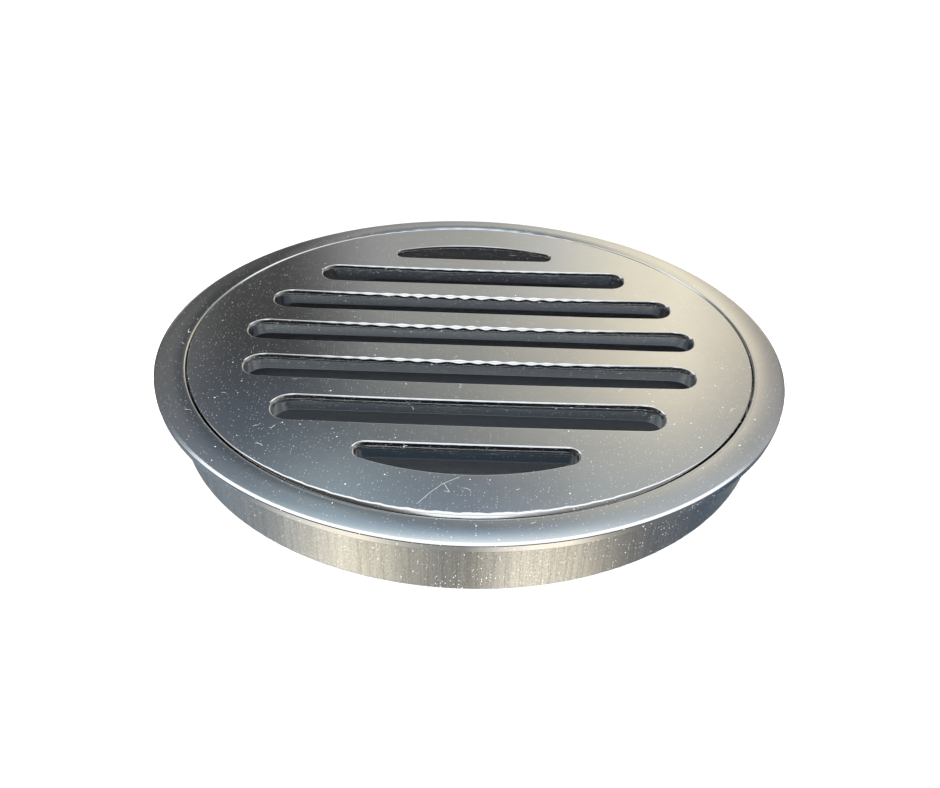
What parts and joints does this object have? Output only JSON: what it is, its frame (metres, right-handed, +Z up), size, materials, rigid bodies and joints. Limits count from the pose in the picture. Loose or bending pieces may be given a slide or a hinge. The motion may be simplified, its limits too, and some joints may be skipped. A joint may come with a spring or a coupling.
{
  "type": "floor drain grate",
  "caption": "Round polished metal floor drain: a slotted disc that lifts out of a flanged frame with a short outlet sleeve.",
  "frame": {"origin": "centre of the outlet sleeve's lower rim", "axes": "+Z up, out of the floor; +X along the slots; +Y across them"},
  "size_m": [0.11, 0.11, 0.0114],
  "materials": {
    "flange_metal": "polished",
    "sleeve_metal": "bright drawn, faint upright streaks",
    "gasket_rubber": "matt",
    "grate_metal": "polished"
  },
  "bodies": {
    "frame": {"flange_ring": "flange_metal", "outlet_sleeve": "sleeve_metal"},
    "seat": {"seat_gasket": "gasket_rubber"},
    "grate": {"grate_plate": "grate_metal"}
  },
  "joints": [
    {"name": "grate_turn", "type": "hinge", "parent": "frame", "child": "seat", "pos_m": [0, 0, 0.00775], "axis": [0, 0, 1], "continuous": true},
    {"name": "grate_lift", "type": "slide", "parent": "seat", "child": "grate", "axis": [0, 0, 1], "range_m": [0, 0.04]}
  ]
}
